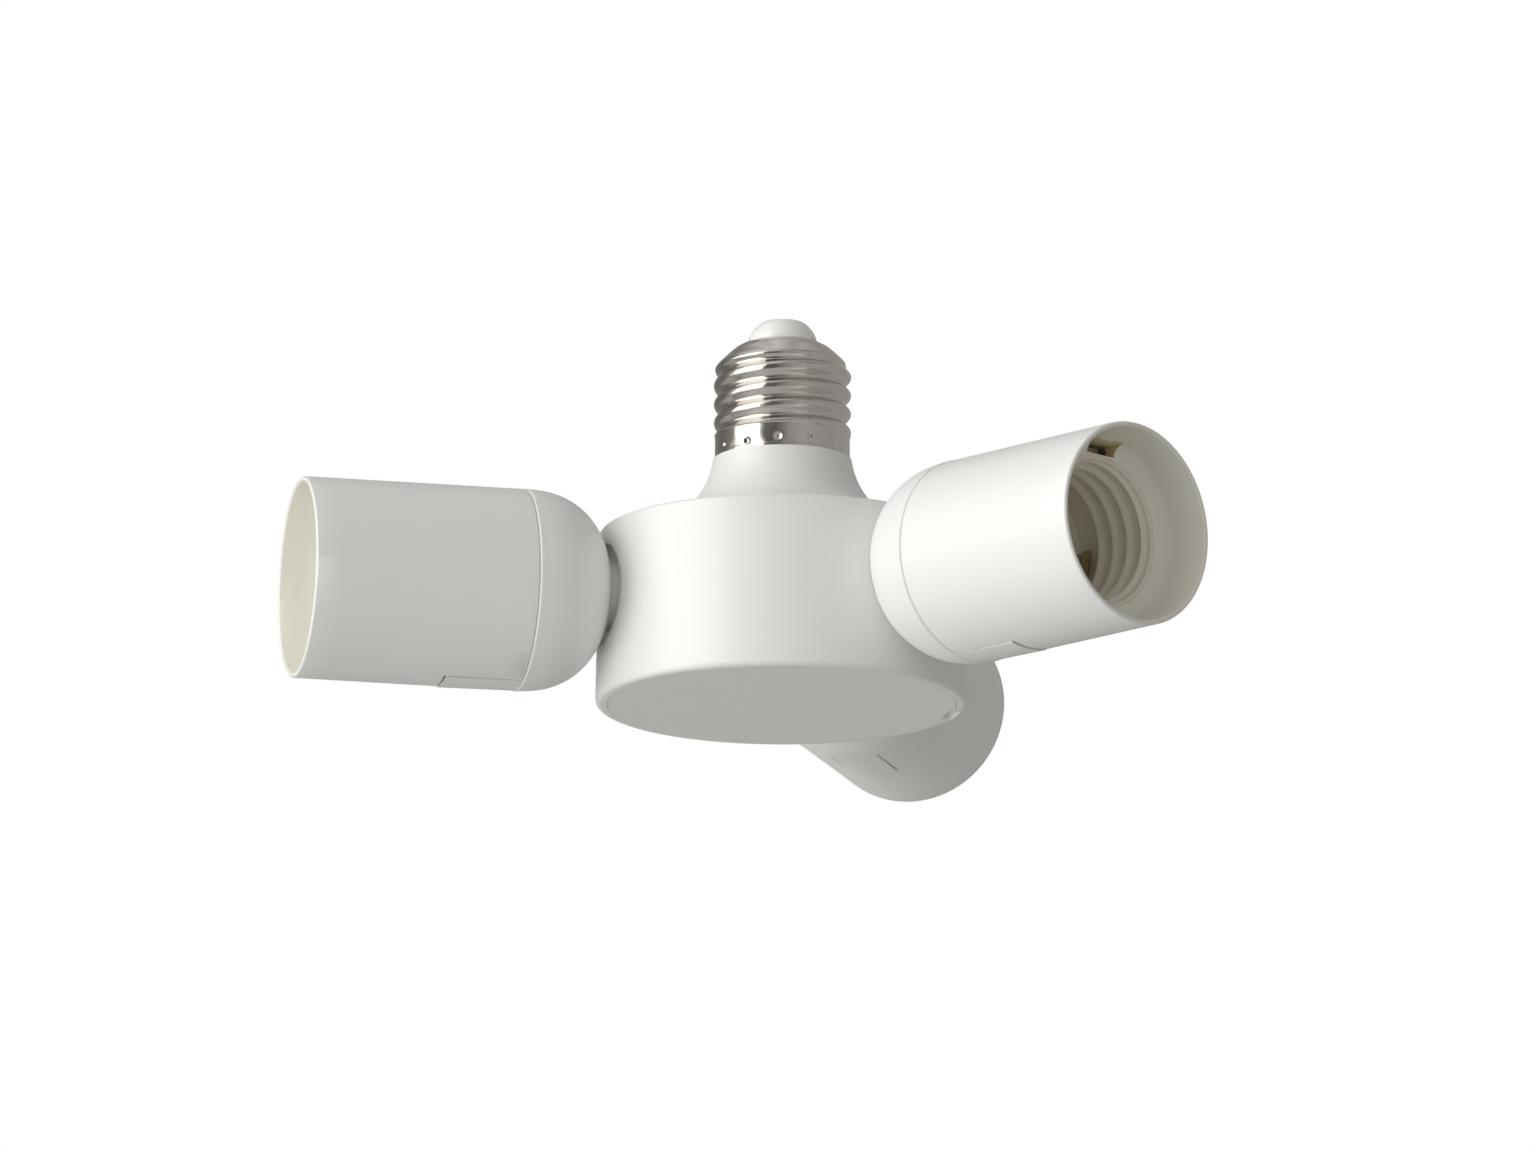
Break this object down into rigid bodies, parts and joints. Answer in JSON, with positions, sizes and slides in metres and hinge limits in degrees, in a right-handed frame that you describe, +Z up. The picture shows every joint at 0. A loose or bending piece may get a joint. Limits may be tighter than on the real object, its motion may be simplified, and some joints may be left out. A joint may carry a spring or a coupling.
{
  "type": "lamp socket adapter",
  "caption": "Lamp socket splitter: a nickel screw base on a flared round white housing, with level lamp holders spaced evenly round its wall and open threaded mouths.",
  "frame": {"origin": "centre of the flat underside", "axes": "+Z up through the screw base; the holders' axes are level, one along +Y and the others 120 degrees to each side of it"},
  "size_m": [0.1804, 0.1564, 0.0746],
  "materials": {
    "white_plastic": "satin",
    "nickel": "satin",
    "insulator": "satin",
    "insert_plastic": "satin",
    "brass": "satin",
    "steel": "plated",
    "crimp_cap": "matt",
    "live_wire": "matt",
    "neutral_wire": "matt"
  },
  "bodies": {
    "root": {"housing": "white_plastic", "bottom_cover": "white_plastic", "screw_shell": "nickel", "contact_insulator": "insulator", "centre_contact": "brass", "live_splice": "crimp_cap", "neutral_splice": "crimp_cap", "base_live_lead": "live_wire", "base_neutral_lead": "neutral_wire", "terminal_screws": "steel", "dome_cap_1": "white_plastic", "sleeve_1": "white_plastic", "lamp_insert_1": "insert_plastic", "centre_spring_1": "brass", "side_spring_1": "brass", "live_terminal_1": "brass", "neutral_terminal_1": "brass", "nipple_1": "steel", "lock_nut_1": "steel", "live_lead_1": "live_wire", "neutral_lead_1": "neutral_wire", "dome_cap_2": "white_plastic", "sleeve_2": "white_plastic", "lamp_insert_2": "insert_plastic", "centre_spring_2": "brass", "side_spring_2": "brass", "live_terminal_2": "brass", "neutral_terminal_2": "brass", "nipple_2": "steel", "lock_nut_2": "steel", "live_lead_2": "live_wire", "neutral_lead_2": "neutral_wire", "dome_cap_3": "white_plastic", "sleeve_3": "white_plastic", "lamp_insert_3": "insert_plastic", "centre_spring_3": "brass", "side_spring_3": "brass", "live_terminal_3": "brass", "neutral_terminal_3": "brass", "nipple_3": "steel", "lock_nut_3": "steel", "live_lead_3": "live_wire", "neutral_lead_3": "neutral_wire"}
  },
  "joints": []
}
